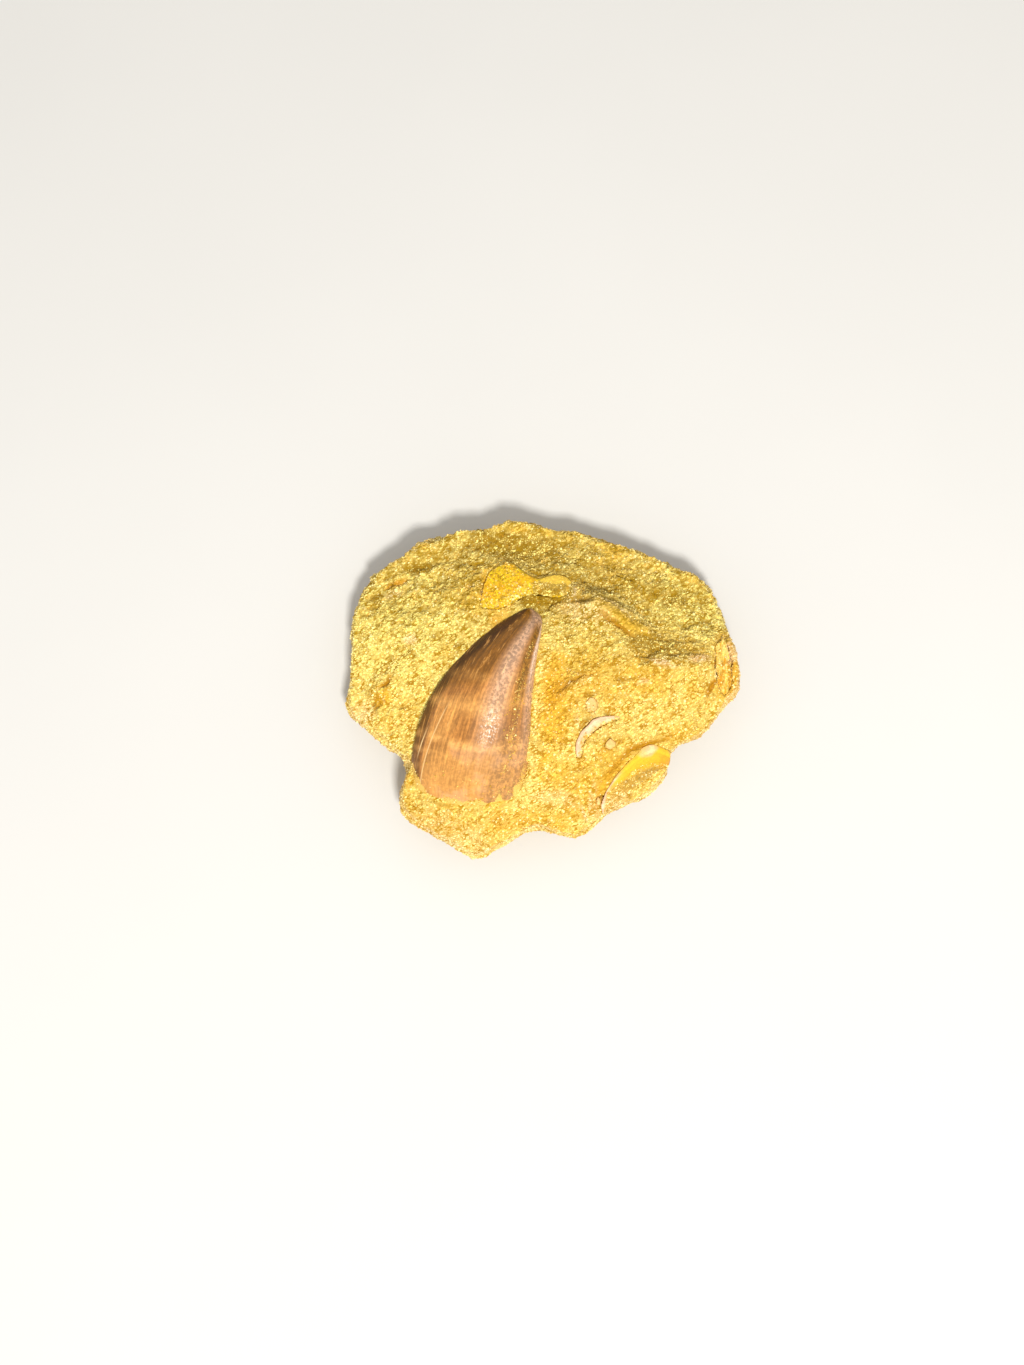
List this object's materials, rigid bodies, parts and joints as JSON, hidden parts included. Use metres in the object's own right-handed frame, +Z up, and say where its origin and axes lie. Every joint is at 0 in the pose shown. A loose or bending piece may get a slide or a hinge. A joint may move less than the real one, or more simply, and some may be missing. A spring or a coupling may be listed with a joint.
{
  "type": "fossil mosasaur tooth",
  "caption": "Curved brown marine reptile tooth crown half sunk in a rough block of golden sandstone with scraps of bone and shell; a display fossil that lies on its flat foot.",
  "frame": {"origin": "under the middle of the bounding box, on the surface that the block rests on", "axes": "+X across the block, +Y from the tooth's buried root towards its tip, +Z up out of the face that shows the tooth"},
  "size_m": [0.0746, 0.0642, 0.024],
  "materials": {
    "sandstone": "rough, grainy golden phosphatic sandstone with amber and olive patches",
    "tooth_enamel": "satin brown fossil enamel, dark at the tip and orange near the base, with fine lengthways streaks",
    "bone": "matt deep golden fossil bone",
    "shell": "chalky pale shell, cream to yellow"
  },
  "bodies": {
    "root": {"matrix_block": "sandstone", "tooth": "tooth_enamel", "bone_fragment": "bone", "bone_splinter": "bone", "shell_plate": "shell", "shell_rim": "shell"}
  },
  "joints": []
}
